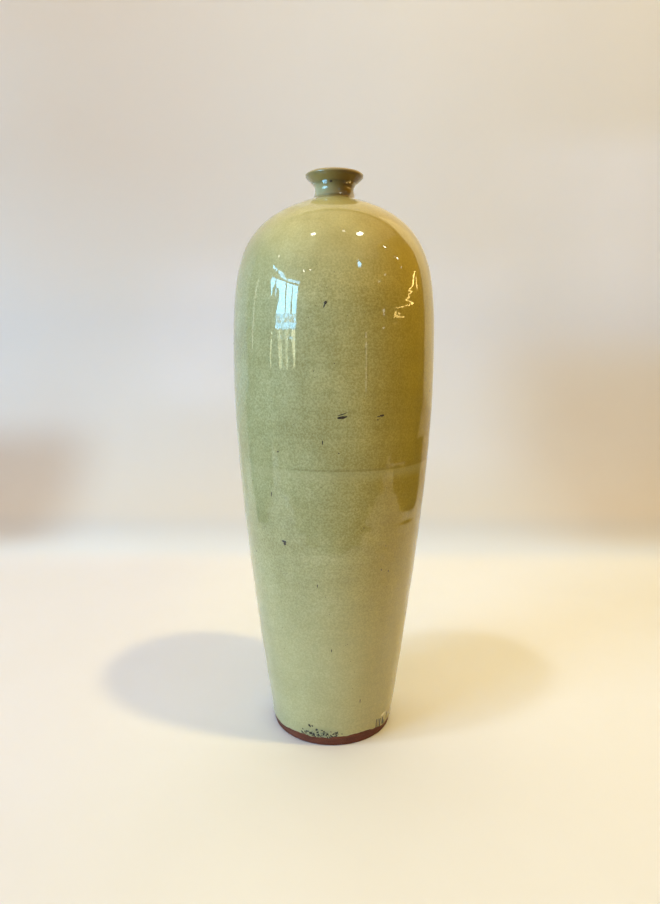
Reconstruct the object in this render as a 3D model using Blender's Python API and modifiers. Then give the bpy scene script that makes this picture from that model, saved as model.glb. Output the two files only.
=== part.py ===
"""A tall stoneware bottle vase: two thrown body sections and a thrown neck, luted together
with slip, under a coat of glaze outside and a liner glaze inside.

Metres, +Z up. The origin is the centre of the foot's resting plane.
Outlines are (radius, height) points in millimetres, turned about Z.
"""

from math import cos, pi, sin

import bpy

MM = 0.001

# Driving dimensions of the visible, glazed outside
HEIGHT = 399.0
FOOT_RADIUS = 44.8
BELLY_RADIUS = 70.7
BELLY_HEIGHT = 265.0
NECK_BASE_RADIUS = 14.7
NECK_BASE_HEIGHT = 382.4
NECK_WAIST_RADIUS = 13.2
NECK_WAIST_HEIGHT = 388.6
LIP_RADIUS = 19.9
LIP_THICKNESS = 5.2
LIP_ROUNDING = 1.6

# How the curves between those points set off
FOOT_LEAN = 0.148                   # outward travel for each millimetre up
FOOT_HANDLE = 88.0
BELLY_HANDLE_BELOW = 65.0
BELLY_HANDLE_ABOVE = 74.6
SHOULDER_HANDLE = 56.0
SHOULDER_SLOPE = 17.1 * pi / 180    # at the neck, above the horizontal

# Clay
SEAM_HEIGHT = 207.0                 # where the two body sections meet
FOOT_WALL = 8.0
BELLY_WALL = 5.6
SHOULDER_WALL = 4.6
FLOOR_TOP = 12.0
FLOOR_CORNER = 9.0
FOOT_RING_WIDTH = 9.0
FOOT_RECESS = 3.0
FOOT_BEVEL = 0.6
FOOT_INSET = 0.5                    # the bare foot stands this far inside the glazed outline
BORE_RADIUS = 9.0
BORE_BOTTOM = 378.2
BORE_TOP = 389.5

# Glaze, slip and the fit between touching pieces
GAP = 0.3
GLAZE = 0.7
LINER = 0.6
LINER_END = 1.0                     # how far short of the outer coat's edge the liner stops
GLAZE_LINE = 6.0                    # the bare band at the foot
SLIP = 0.6
BODY_JOINT_DEPTH = 3.0
NECK_JOINT_DEPTH = 1.8

ROUND_STEPS = 40
MERGE = 0.00005


def bezier(start, handle_a, handle_b, end, fractions):
    """Points on a cubic curve at the given fractions of its parameter."""
    points = []
    for t in fractions:
        weights = ((1 - t) ** 3, 3 * t * (1 - t) ** 2, 3 * t * t * (1 - t), t ** 3)
        corners = (start, handle_a, handle_b, end)
        points.append(tuple(sum(w * p[i] for w, p in zip(weights, corners)) for i in (0, 1)))
    return points


def arc(centre, radius, first, last, count):
    """Points on an arc, with angles in degrees from straight out, turning upward."""
    angles = [(first + (last - first) * k / count) * pi / 180 for k in range(count + 1)]
    return [(centre[0] + radius * cos(a), centre[1] + radius * sin(a)) for a in angles]


def evenly(count, first=0.0, last=1.0):
    return [first + (last - first) * k / count for k in range(count + 1)]


def offset(outline, distance):
    """The outline moved to the left of its direction of travel, with mitred corners."""
    normals = []
    for (r0, z0), (r1, z1) in zip(outline, outline[1:]):
        length = ((r1 - r0) ** 2 + (z1 - z0) ** 2) ** 0.5
        normals.append(((z0 - z1) / length, (r1 - r0) / length))
    moved = []
    for i, (r, z) in enumerate(outline):
        a = normals[max(i - 1, 0)]
        b = normals[min(i, len(normals) - 1)]
        scale = distance / (1 + a[0] * b[0] + a[1] * b[1])
        moved.append((r + (a[0] + b[0]) * scale, z + (a[1] + b[1]) * scale))
    return moved


def between(a, b, share):
    return (a[0] + (b[0] - a[0]) * share, a[1] + (b[1] - a[1]) * share)


def towards(a, b, distance):
    """The point that lies this far from a on the way to b."""
    length = ((b[0] - a[0]) ** 2 + (b[1] - a[1]) ** 2) ** 0.5
    return between(a, b, distance / length)


# Outlines

def lower_wall(heights):
    """The glazed outline from the foot to the belly, at the given heights."""
    curve = ((FOOT_RADIUS, 0.0),
             (FOOT_RADIUS + FOOT_LEAN * FOOT_HANDLE, FOOT_HANDLE),
             (BELLY_RADIUS, BELLY_HEIGHT - BELLY_HANDLE_BELOW),
             (BELLY_RADIUS, BELLY_HEIGHT))
    found = []
    for height in heights:
        low, high = 0.0, 1.0
        for _ in range(40):
            middle = (low + high) / 2
            if bezier(*curve, [middle])[0][1] < height:
                low = middle
            else:
                high = middle
        found.append((bezier(*curve, [low])[0][0], height))
    return found


def shoulder():
    """The glazed outline from above the belly to the foot of the neck."""
    rise = (SHOULDER_HANDLE * cos(SHOULDER_SLOPE), SHOULDER_HANDLE * sin(SHOULDER_SLOPE))
    return bezier((BELLY_RADIUS, BELLY_HEIGHT),
                  (BELLY_RADIUS, BELLY_HEIGHT + BELLY_HANDLE_ABOVE),
                  (NECK_BASE_RADIUS + rise[0], NECK_BASE_HEIGHT - rise[1]),
                  (NECK_BASE_RADIUS, NECK_BASE_HEIGHT), evenly(9)[1:])


def neck_outside():
    """The glazed outline from the foot of the neck over the lip to the inside of the mouth."""
    lip_height = HEIGHT - LIP_ROUNDING
    waist = (NECK_WAIST_RADIUS, NECK_WAIST_HEIGHT)
    collar = bezier((NECK_BASE_RADIUS, NECK_BASE_HEIGHT),
                    (NECK_BASE_RADIUS - 1.0, NECK_BASE_HEIGHT + 2.0),
                    (NECK_WAIST_RADIUS, NECK_WAIST_HEIGHT - 2.0), waist, evenly(3)[1:])
    flare = bezier(waist, (NECK_WAIST_RADIUS, NECK_WAIST_HEIGHT + 4.0),
                   (LIP_RADIUS, lip_height - 2.0), (LIP_RADIUS, lip_height), evenly(4)[1:])
    edge = arc((LIP_RADIUS - LIP_ROUNDING, lip_height), LIP_ROUNDING, 0, 90, 3)[1:]
    inner_edge = arc((LIP_RADIUS - LIP_THICKNESS + LIP_ROUNDING, lip_height), LIP_ROUNDING, 90, 180, 3)
    return collar + flare + edge + inner_edge


LOWER_HEIGHTS = [GLAZE_LINE, 60.0, 110.0, 160.0, SEAM_HEIGHT]
UPPER_HEIGHTS = [236.0, BELLY_HEIGHT]

lower_face = lower_wall(LOWER_HEIGHTS)
upper_face = lower_wall(UPPER_HEIGHTS) + shoulder()
neck_face = neck_outside()
face = lower_face + upper_face + neck_face

SEAM = len(lower_face) - 1
NECK = SEAM + len(upper_face)

clay_face = offset(face, GLAZE + GAP)


def wall_at(height):
    """Thickness of the clay wall at a height on the body."""
    if height < BELLY_HEIGHT:
        return FOOT_WALL + (BELLY_WALL - FOOT_WALL) * height / BELLY_HEIGHT
    share = (height - BELLY_HEIGHT) / (NECK_BASE_HEIGHT - BELLY_HEIGHT)
    return BELLY_WALL + (SHOULDER_WALL - BELLY_WALL) * share


def cavity_outline():
    """The clay's inner surface, from the middle of the floor up to the inside of the lip.

    Returns the outline and the places in it of the body seam and of the foot of the bore.
    """
    wall = [offset(face, GLAZE + GAP + wall_at(z))[i] for i, (_, z) in enumerate(face[:NECK])][1:]
    corner_radius = between(wall[0], offset(face, GLAZE + GAP + FOOT_WALL)[0], 0.85)[0]
    corner = arc((corner_radius - FLOOR_CORNER, FLOOR_TOP + FLOOR_CORNER), FLOOR_CORNER, -90, 0, 4)
    mouth = clay_face[-1]
    flare = bezier((BORE_RADIUS, BORE_TOP), (BORE_RADIUS, BORE_TOP + 4.0),
                   (mouth[0] - 0.6, mouth[1] - 2.6), mouth, evenly(4)[1:])
    bore = [(BORE_RADIUS, BORE_BOTTOM), (BORE_RADIUS, NECK_BASE_HEIGHT), (BORE_RADIUS, BORE_TOP)]
    outline = [(0.0, FLOOR_TOP)] + corner + wall
    return outline + bore + flare, len(corner) + SEAM, len(outline)


cavity, CAVITY_SEAM, CAVITY_BORE = cavity_outline()


def joint_line(outer, inner, depth):
    """A V-shaped meeting line across the wall, from the outside in."""
    middle = between(outer, inner, 0.5)
    return [outer, (middle[0], middle[1] - depth), inner]


def shifted(line, outer_next, inner_next, distance):
    """The joint line moved along the wall, its ends staying on the wall's two surfaces."""
    middle_step = distance if outer_next[1] > line[0][1] else -distance
    return [towards(line[0], outer_next, distance),
            (line[1][0], line[1][1] + middle_step),
            towards(line[2], inner_next, distance)]


HALF_JOINT = SLIP / 2 + GAP

body_line = joint_line(clay_face[SEAM], cavity[CAVITY_SEAM], BODY_JOINT_DEPTH)
above_seam = (clay_face[SEAM + 1], cavity[CAVITY_SEAM + 1])
below_seam = (clay_face[SEAM - 1], cavity[CAVITY_SEAM - 1])

neck_line = joint_line(clay_face[NECK], cavity[CAVITY_BORE + 1], NECK_JOINT_DEPTH)
above_neck = (clay_face[NECK + 1], cavity[CAVITY_BORE + 2])
below_neck = (clay_face[NECK - 1], cavity[CAVITY_BORE])


def lower_body_outline():
    """Floor, foot ring and lower wall, thrown and turned as one piece."""
    foot_radius = FOOT_RADIUS - FOOT_INSET
    recess_radius = foot_radius - FOOT_RING_WIDTH
    foot_top = (foot_radius + FOOT_LEAN * (GLAZE_LINE - 2 * GAP), GLAZE_LINE - 2 * GAP)
    foot = [foot_top, (foot_radius, FOOT_BEVEL), (foot_radius - FOOT_BEVEL, 0.0),
            (recess_radius + FOOT_BEVEL, 0.0), (recess_radius, FOOT_BEVEL),
            (recess_radius - FOOT_RECESS, FOOT_RECESS), (0.0, FOOT_RECESS)]
    skin = clay_face[SEAM - 1::-1]
    edge = shifted(body_line, *below_seam, HALF_JOINT)
    return cavity[:CAVITY_SEAM] + edge[::-1] + skin + foot


def upper_body_outline():
    """Upper wall and shoulder, thrown as a second section."""
    top = shifted(neck_line, *below_neck, HALF_JOINT)
    bottom = shifted(body_line, *above_seam, HALF_JOINT)
    outside = clay_face[NECK - 1:SEAM:-1]
    inside = cavity[CAVITY_SEAM + 1:CAVITY_BORE + 1]
    return [top[0]] + outside + bottom + inside + top[:0:-1]


def neck_outline():
    """The collar, its bore and the flat-topped lip."""
    bottom = shifted(neck_line, *above_neck, HALF_JOINT)
    outside = clay_face[:NECK:-1]
    inside = cavity[CAVITY_BORE + 2:-1]
    return outside + bottom + inside


def slip_outline(line, above, below):
    """The band of slip that fills a joint."""
    top = shifted(line, *above, SLIP / 2)
    bottom = shifted(line, *below, SLIP / 2)
    return [top[0]] + bottom + top[:0:-1]


def outer_glaze_outline():
    """The coat from the inside of the lip down to the glaze line."""
    return face[::-1] + offset(face, GLAZE)


def liner_glaze_outline():
    """The coat over the whole inside, up to the outer coat's edge."""
    back = offset(cavity, GAP)
    skin = offset(cavity, GAP + LINER)
    back[0], skin[0] = (0.0, back[1][1]), (0.0, skin[1][1])
    for line in (back, skin):
        line[-1] = towards(line[-1], line[-2], LINER_END)
    return skin + back[::-1]


# Objects

def new_collection(name):
    collection = bpy.data.collections.new(name)
    bpy.context.scene.collection.children.link(collection)
    return collection


def new_material(name, colour, roughness, coat=0.0):
    material = bpy.data.materials.new(name)
    material.use_nodes = True
    shader = material.node_tree.nodes["Principled BSDF"]
    shader.inputs["Base Color"].default_value = (*colour, 1.0)
    shader.inputs["Roughness"].default_value = roughness
    shader.inputs["Metallic"].default_value = 0.0
    shader.inputs["Coat Weight"].default_value = coat
    return material


def turned(name, outline, material, collection, closed):
    """A body of revolution from an outline that runs down its outer side."""
    count = len(outline)
    edges = [(i, i + 1) for i in range(count - 1)]
    if closed:
        edges.append((count - 1, 0))
    mesh = bpy.data.meshes.new(name)
    mesh.from_pydata([(r * MM, 0.0, z * MM) for r, z in outline], edges, [])
    mesh.materials.append(material)
    piece = bpy.data.objects.new(name, mesh)
    collection.objects.link(piece)
    screw = piece.modifiers.new("Turn", "SCREW")
    screw.axis = "Z"
    screw.angle = 2 * pi
    screw.screw_offset = 0.0
    screw.steps = ROUND_STEPS
    screw.render_steps = ROUND_STEPS
    screw.use_merge_vertices = True
    screw.merge_threshold = MERGE
    screw.use_smooth_shade = True
    return piece


def main():
    for old in list(bpy.data.objects):
        bpy.data.objects.remove(old)
    vase = new_collection("stoneware_vase")
    clay = new_material("bare_stoneware", (0.16, 0.055, 0.028), 0.75)
    slip = new_material("joint_slip", (0.22, 0.12, 0.07), 0.8)
    celadon = new_material("celadon_glaze", (0.36, 0.37, 0.19), 0.12, coat=0.5)
    liner = new_material("liner_glaze", (0.30, 0.33, 0.20), 0.2, coat=0.3)

    turned("lower_body", lower_body_outline(), clay, vase, closed=False)
    turned("upper_body", upper_body_outline(), clay, vase, closed=True)
    turned("neck", neck_outline(), clay, vase, closed=True)
    turned("body_joint_slip", slip_outline(body_line, above_seam, below_seam), slip, vase, closed=True)
    turned("neck_joint_slip", slip_outline(neck_line, above_neck, below_neck), slip, vase, closed=True)
    turned("outer_glaze", outer_glaze_outline(), celadon, vase, closed=True)
    turned("liner_glaze", liner_glaze_outline(), liner, vase, closed=False)


main()
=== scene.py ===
"""Looks for the stoneware bottle vase: glaze, bare foot, iron specks, set and light.

Metres, +Z up, the vase standing on z = 0 with its axis on Z. The front faces -Y.
Outlines are (radius, height) points in the vase's own millimetres, and MM turns them into metres.
Places on the vase are (angle, height): degrees round from the front, positive to the right.
"""

from math import cos, exp, hypot, pi, radians, sin, sqrt
from random import Random

import bpy
from mathutils import Matrix, Vector


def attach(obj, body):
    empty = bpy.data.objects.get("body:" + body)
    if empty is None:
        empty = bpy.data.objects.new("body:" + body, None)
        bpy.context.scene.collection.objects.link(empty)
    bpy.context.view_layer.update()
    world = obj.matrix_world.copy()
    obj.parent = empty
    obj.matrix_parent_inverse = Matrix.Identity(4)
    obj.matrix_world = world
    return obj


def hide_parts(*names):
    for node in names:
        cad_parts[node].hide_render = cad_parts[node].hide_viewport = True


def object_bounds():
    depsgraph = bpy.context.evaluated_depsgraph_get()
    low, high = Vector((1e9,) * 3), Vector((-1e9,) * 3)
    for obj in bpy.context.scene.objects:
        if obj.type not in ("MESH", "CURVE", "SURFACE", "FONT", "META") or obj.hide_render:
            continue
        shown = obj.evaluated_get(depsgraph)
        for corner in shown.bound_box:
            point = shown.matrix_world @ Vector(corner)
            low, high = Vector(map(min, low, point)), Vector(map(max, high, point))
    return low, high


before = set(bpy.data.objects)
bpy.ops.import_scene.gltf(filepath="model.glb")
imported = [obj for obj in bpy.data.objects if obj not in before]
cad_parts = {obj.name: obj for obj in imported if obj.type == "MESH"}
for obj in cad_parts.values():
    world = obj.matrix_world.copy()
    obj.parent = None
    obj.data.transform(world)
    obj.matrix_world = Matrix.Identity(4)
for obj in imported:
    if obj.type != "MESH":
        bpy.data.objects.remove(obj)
cad_box = [list(corner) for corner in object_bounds()]

# Driving dimensions of the glazed outside, as in the CAD
HEIGHT = 399.0
FOOT_RADIUS = 44.8
BELLY_RADIUS = 70.7
BELLY_HEIGHT = 265.0
NECK_BASE_RADIUS = 14.7
NECK_BASE_HEIGHT = 382.4
NECK_WAIST_RADIUS = 13.2
NECK_WAIST_HEIGHT = 388.6
LIP_RADIUS = 19.9
LIP_THICKNESS = 5.2
LIP_ROUNDING = 1.6

# How the curves between those points set off
FOOT_LEAN = 0.148  # outward travel for each millimetre up
FOOT_HANDLE = 88.0
BELLY_HANDLE_BELOW = 65.0
BELLY_HANDLE_ABOVE = 74.6
SHOULDER_HANDLE = 56.0
SHOULDER_SLOPE = radians(17.1)  # at the neck, above the horizontal
COLLAR_HANDLE = 2.0
COLLAR_DRAW = 1.0  # inward travel along the collar's first handle
FLARE_HANDLE = 4.0
LIP_HANDLE = 2.0

# Clay
SEAM_HEIGHT = 207.0  # where the two body sections meet
FOOT_WALL = 8.0
BELLY_WALL = 5.6
SHOULDER_WALL = 4.6
FLOOR_TOP = 12.0
FLOOR_CORNER = 9.0
FLOOR_CORNER_ROOM = 4.0  # the wall's outline starts this far above the floor's corner
FOOT_RING_WIDTH = 9.0
FOOT_RECESS = 3.0
FOOT_BEVEL = 0.6
FOOT_INSET = 0.5  # the bare foot stands this far inside the glazed outline
BORE_RADIUS = 9.0
BORE_BOTTOM = 378.2
BORE_TOP = 389.5
BORE_HANDLE = 4.0
MOUTH_HANDLE = (0.6, 2.6)  # inward and downward

# Glaze, slip and the fit between touching pieces
GAP = 0.3
GLAZE = 0.7
LINER = 0.6
LINER_END = 1.0  # how far short of the outer coat's edge the liner stops
SLIP = 0.6
BODY_JOINT_DEPTH = 3.0
NECK_JOINT_DEPTH = 1.8

MM = (cad_box[1][2] - cad_box[0][2]) / HEIGHT

# Mesh fineness
COLUMNS = 192
FINE_COLUMNS = 3 * COLUMNS  # in the band at the foot, where the glaze ends
HIDDEN_COLUMNS = 96
FINE_BAND = 18.0  # that band's height
OUTER_STEP = 1.6
BACK_STEP = 8.0
LOWER_STEPS = 24
UPPER_STEPS = 6
SHOULDER_STEPS = 40
NECK_STEPS = 14
CORNER_STEPS = 8
MOUTH_STEPS = 10
BISECTIONS = 30


# Outlines

def bezier(start, handle_a, handle_b, end, fractions):
    """Points on a cubic curve at the given fractions of its parameter."""
    points = []
    for t in fractions:
        weights = ((1 - t) ** 3, 3 * t * (1 - t) ** 2, 3 * t * t * (1 - t), t ** 3)
        corners = (start, handle_a, handle_b, end)
        points.append(tuple(sum(w * p[i] for w, p in zip(weights, corners)) for i in (0, 1)))
    return points


def arc(centre, radius, first, last, count):
    """Points on an arc, with angles in degrees from straight out, turning upward."""
    angles = [radians(first + (last - first) * k / count) for k in range(count + 1)]
    return [(centre[0] + radius * cos(a), centre[1] + radius * sin(a)) for a in angles]


def evenly(count, first=0.0, last=1.0):
    return [first + (last - first) * k / count for k in range(count + 1)]


def corner_normals(outline):
    """For each point, the unit normals of the edges before and after it, left of the travel."""
    edges = []
    for (r0, z0), (r1, z1) in zip(outline, outline[1:]):
        length = hypot(r1 - r0, z1 - z0)
        edges.append(((z0 - z1) / length, (r1 - r0) / length))
    return list(zip(edges[:1] + edges, edges + edges[-1:]))


def moved_left(point, normals, distance):
    """The point moved to the left of the direction of travel, to a mitred corner."""
    (r, z), (a, b) = point, normals
    scale = distance / (1 + a[0] * b[0] + a[1] * b[1])
    return (r + (a[0] + b[0]) * scale, z + (a[1] + b[1]) * scale)


def offset(outline, distance):
    """The outline moved to the left of its direction of travel."""
    return [moved_left(p, n, distance) for p, n in zip(outline, corner_normals(outline))]


def between(a, b, share):
    return tuple(p + (q - p) * share for p, q in zip(a, b))


def towards(a, b, distance):
    """The point that lies this far from a on the way to b."""
    return between(a, b, distance / hypot(b[0] - a[0], b[1] - a[1]))


def resampled(outline, step):
    """The same path with points about one step apart along it."""
    lengths = [0.0]
    for a, b in zip(outline, outline[1:]):
        lengths.append(lengths[-1] + hypot(b[0] - a[0], b[1] - a[1]))
    count = max(int(lengths[-1] / step + 0.5), 1)
    points, k = [], 0
    for i in range(count + 1):
        along = lengths[-1] * i / count
        while k < len(lengths) - 2 and lengths[k + 1] < along:
            k += 1
        share = (along - lengths[k]) / (lengths[k + 1] - lengths[k])
        points.append(between(outline[k], outline[k + 1], share))
    return points


def smooth(low, high, value):
    """0 below low, 1 above high, and an S-curve between them."""
    t = min(max((value - low) / (high - low), 0.0), 1.0)
    return t * t * (3 - 2 * t)


def bell(value, centre, spread):
    """1 at the centre, falling away on both sides of it."""
    return exp(-((value - centre) / spread) ** 2)


def body_curve():
    """The glazed outline from the foot to the belly."""
    return ((FOOT_RADIUS, 0.0),
            (FOOT_RADIUS + FOOT_LEAN * FOOT_HANDLE, FOOT_HANDLE),
            (BELLY_RADIUS, BELLY_HEIGHT - BELLY_HANDLE_BELOW),
            (BELLY_RADIUS, BELLY_HEIGHT))


def wall_point(height):
    """The point of the glazed outline at a height below the belly."""
    low, high = 0.0, 1.0
    for _ in range(BISECTIONS):
        middle = (low + high) / 2
        if bezier(*body_curve(), [middle])[0][1] < height:
            low = middle
        else:
            high = middle
    return bezier(*body_curve(), [low])[0]


def shoulder(count):
    """The glazed outline from above the belly to the foot of the neck."""
    rise = (SHOULDER_HANDLE * cos(SHOULDER_SLOPE), SHOULDER_HANDLE * sin(SHOULDER_SLOPE))
    return bezier((BELLY_RADIUS, BELLY_HEIGHT),
                  (BELLY_RADIUS, BELLY_HEIGHT + BELLY_HANDLE_ABOVE),
                  (NECK_BASE_RADIUS + rise[0], NECK_BASE_HEIGHT - rise[1]),
                  (NECK_BASE_RADIUS, NECK_BASE_HEIGHT), evenly(count)[1:])


def neck_outside(count):
    """The glazed outline from the foot of the neck over the lip to the inside of the mouth."""
    lip_height = HEIGHT - LIP_ROUNDING
    waist = (NECK_WAIST_RADIUS, NECK_WAIST_HEIGHT)
    collar = bezier((NECK_BASE_RADIUS, NECK_BASE_HEIGHT),
                    (NECK_BASE_RADIUS - COLLAR_DRAW, NECK_BASE_HEIGHT + COLLAR_HANDLE),
                    (NECK_WAIST_RADIUS, NECK_WAIST_HEIGHT - COLLAR_HANDLE), waist, evenly(count)[1:])
    flare = bezier(waist, (NECK_WAIST_RADIUS, NECK_WAIST_HEIGHT + FLARE_HANDLE),
                   (LIP_RADIUS, lip_height - LIP_HANDLE), (LIP_RADIUS, lip_height), evenly(count)[1:])
    edge = arc((LIP_RADIUS - LIP_ROUNDING, lip_height), LIP_ROUNDING, 0, 90, count // 2)[1:]
    inner_radius = LIP_RADIUS - LIP_THICKNESS + LIP_ROUNDING
    inner_edge = arc((inner_radius, lip_height), LIP_ROUNDING, 90, 180, count // 2)
    return collar + flare + edge + inner_edge


lower_face = [wall_point(z) for z in evenly(LOWER_STEPS, FINE_BAND / 3, SEAM_HEIGHT)]
upper_face = [wall_point(z) for z in evenly(UPPER_STEPS, SEAM_HEIGHT, BELLY_HEIGHT)[1:]]
upper_face += shoulder(SHOULDER_STEPS)
neck_face = neck_outside(NECK_STEPS)
face = lower_face + upper_face + neck_face
clay_face = offset(face, GLAZE + GAP)
# Places in both outlines of the body's seam and of the foot of the neck
SEAM = len(lower_face) - 1
NECK = SEAM + len(upper_face)


def wall_at(height):
    """Thickness of the clay wall at a height on the body."""
    if height < BELLY_HEIGHT:
        return FOOT_WALL + (BELLY_WALL - FOOT_WALL) * height / BELLY_HEIGHT
    share = (height - BELLY_HEIGHT) / (NECK_BASE_HEIGHT - BELLY_HEIGHT)
    return BELLY_WALL + (SHOULDER_WALL - BELLY_WALL) * share


def cavity_outline():
    """The clay's inner surface, with the places in it of the seam and of the foot of the bore."""
    wall = []
    for point, normals in zip(face[:NECK], corner_normals(face)):
        wall.append(moved_left(point, normals, GLAZE + GAP + wall_at(point[1])))
    corner_top = FLOOR_TOP + FLOOR_CORNER
    clear = [p for p in wall if p[1] > corner_top + FLOOR_CORNER_ROOM]
    corner_radius = wall_point(corner_top)[0] - GLAZE - GAP - FOOT_WALL
    corner = arc((corner_radius - FLOOR_CORNER, corner_top), FLOOR_CORNER, -90, 0, CORNER_STEPS)
    mouth = clay_face[-1]
    flare = bezier((BORE_RADIUS, BORE_TOP), (BORE_RADIUS, BORE_TOP + BORE_HANDLE),
                   (mouth[0] - MOUTH_HANDLE[0], mouth[1] - MOUTH_HANDLE[1]), mouth,
                   evenly(MOUTH_STEPS)[1:])
    bore = [(BORE_RADIUS, BORE_BOTTOM), (BORE_RADIUS, NECK_BASE_HEIGHT), (BORE_RADIUS, BORE_TOP)]
    outline = [(0.0, FLOOR_TOP)] + corner + clear
    seam = 1 + len(corner) + SEAM - (len(wall) - len(clear))
    return outline + bore + flare, seam, len(outline)


cavity, CAVITY_SEAM, CAVITY_BORE = cavity_outline()


def joint_line(outer, inner, depth):
    """A V-shaped meeting line across the wall, from the outside in."""
    middle = between(outer, inner, 0.5)
    return [outer, (middle[0], middle[1] - depth), inner]


def shifted(line, outer_next, inner_next, distance):
    """The joint line moved along the wall, its ends staying on the wall's two surfaces."""
    middle_step = distance if outer_next[1] > line[0][1] else -distance
    return [towards(line[0], outer_next, distance),
            (line[1][0], line[1][1] + middle_step),
            towards(line[2], inner_next, distance)]


HALF_JOINT = SLIP / 2 + GAP
body_line = joint_line(clay_face[SEAM], cavity[CAVITY_SEAM], BODY_JOINT_DEPTH)
above_seam = (clay_face[SEAM + 1], cavity[CAVITY_SEAM + 1])
below_seam = (clay_face[SEAM - 1], cavity[CAVITY_SEAM - 1])
neck_line = joint_line(clay_face[NECK], cavity[CAVITY_BORE + 1], NECK_JOINT_DEPTH)
above_neck = (clay_face[NECK + 1], cavity[CAVITY_BORE + 2])
below_neck = (clay_face[NECK - 1], cavity[CAVITY_BORE])


# Meshes

def ring(points_at, columns):
    """A ring of points, each from a function of the angle in degrees."""
    return [points_at(360.0 * j / columns) for j in range(columns)]


def place(radius, angle, height):
    """Metres from a radius, an angle in degrees from the front, and a height."""
    turn = radians(angle)
    return (radius * sin(turn) * MM, -radius * cos(turn) * MM, height * MM)


def bridge(p, q, a, b):
    """Faces between rings of p and q points, which start at points a and b, down an outer side.

    The counts are the same, or one is three times the other, or one is 1.
    """
    faces = []
    steps = max(p, q) if 1 in (p, q) else min(p, q)
    for j in range(steps):
        k = (j + 1) % steps
        if q == 1:
            faces.append((a + j, b, a + k))
        elif p == 1:
            faces.append((a, b + j, b + k))
        elif p == q:
            faces.append((a + j, b + j, b + k, a + k))
        elif q == 3 * p:
            f = [b + (3 * j + m) % q for m in range(4)]
            faces += [(a + j, f[0], f[1]), (a + j, f[1], f[2], a + k), (a + k, f[2], f[3])]
        else:
            f = [a + (3 * j + m) % p for m in range(4)]
            faces += [(b + j, f[1], f[0]), (b + j, b + k, f[2], f[1]), (b + k, f[3], f[2])]
    return faces


def in_scene(name, data):
    """A new object in the scene."""
    made = bpy.data.objects.new(name, data)
    bpy.context.scene.collection.objects.link(made)
    return made


def new_piece(name, points, faces, material):
    mesh = bpy.data.meshes.new(name)
    mesh.from_pydata(points, [], faces)
    mesh.materials.append(material)
    mesh.polygons.foreach_set("use_smooth", [True] * len(mesh.polygons))
    mesh.update()
    return in_scene(name, mesh)


def skin(name, rings, material, closed):
    """A surface through the rings, joined from the last back to the first if closed."""
    points, starts, faces = [], [], []
    for each in rings:
        starts.append(len(points))
        points += each
    for i in range(len(rings) - (0 if closed else 1)):
        n = (i + 1) % len(rings)
        faces += bridge(len(rings[i]), len(rings[n]), starts[i], starts[n])
    return new_piece(name, points, faces, material)


def turned(name, outline, material, closed):
    """A body of revolution from an outline that runs down its outer side."""
    rings = []
    for r, z in outline:
        rings.append(ring(lambda angle: place(r, angle, z), 1 if r == 0.0 else HIDDEN_COLUMNS))
    return skin(name, rings, material, closed)


# The glaze coat's relief, in millimetres

# Throwing ridges that spiral up: spacing, depth, start in radians
THROWING = (
    (5.3, 0.006, 0.4),
    (8.7, 0.016, 2.1),
    (13.1, 0.026, 4.4),
    (31.0, 0.070, 1.2),
)
# Where the ridges weaken: lower height, upper height, share lost
THROWING_FADES = ((170.0, 260.0, 0.5), (360.0, 384.0, 0.9))
# Slow waves round the body: their number, height for one turn of a wave, depth, start in radians
WOBBLE = (
    (2, 310.0, 0.14, 0.6),
    (3, 170.0, 0.08, 2.9),
    (5, 90.0, 0.035, 4.0),
)
SEAM_MARK_HEIGHT = 206.5
# The swelling below the seam and the groove at it: height from the mark, spread, relief
SEAM_RELIEF = ((-3.0, 2.4, 0.07), (0.0, 0.9, -0.10))


def relief(angle, height):
    """How far the surface stands out of the plain outline."""
    turn = radians(angle)
    strength = 1.0
    for low, high, lost in THROWING_FADES:
        strength *= 1.0 - lost * smooth(low, high, height)
    total = 0.0
    for spacing, depth, start in THROWING:
        total += strength * depth * sin(2 * pi * height / spacing + turn + start)
    for waves, climb, depth, start in WOBBLE:
        total += strength * depth * sin(waves * turn + 2 * pi * height / climb + start)
    from_seam = height - SEAM_MARK_HEIGHT
    return total + sum(depth * bell(from_seam, centre, spread) for centre, spread, depth in SEAM_RELIEF)


# Where the glaze stops at the foot: (angle, height)
GLAZE_EDGE = (
    (-180, 6.4), (-140, 7.4), (-110, 6.0), (-80, 7.0), (-55, 5.5), (-33, 6.8), (-14, 6.3),
    (8, 7.7), (30, 8.5), (43, 6.8), (54, 4.6), (64, 5.6), (85, 5.2), (120, 7.2), (150, 5.8), (180, 6.4),
)
# Ripples along that edge: waves round, height, start in radians
EDGE_RIPPLES = ((23, 0.13, 0.0), (41, 0.10, 1.0), (67, 0.07, 2.0))
# Where the edge is most ragged: angle, spread in degrees, how much more
RAGGED = (-8.0, 14.0, 1.2)


def wrapped(angle):
    """The same angle, between -180 and 180 degrees."""
    return (angle + 180.0) % 360.0 - 180.0


def glaze_edge(angle):
    """Height of the glaze's lower edge."""
    angle = wrapped(angle)
    for (a0, z0), (a1, z1) in zip(GLAZE_EDGE, GLAZE_EDGE[1:]):
        if a0 <= angle <= a1:
            height = z0 + (z1 - z0) * smooth(a0, a1, angle)
            break
    centre, spread, more = RAGGED
    ragged = 1.0 + more * bell(angle, centre, spread)
    ripple = sum(depth * sin(waves * radians(angle) + start) for waves, depth, start in EDGE_RIPPLES)
    return height + ragged * ripple


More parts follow.
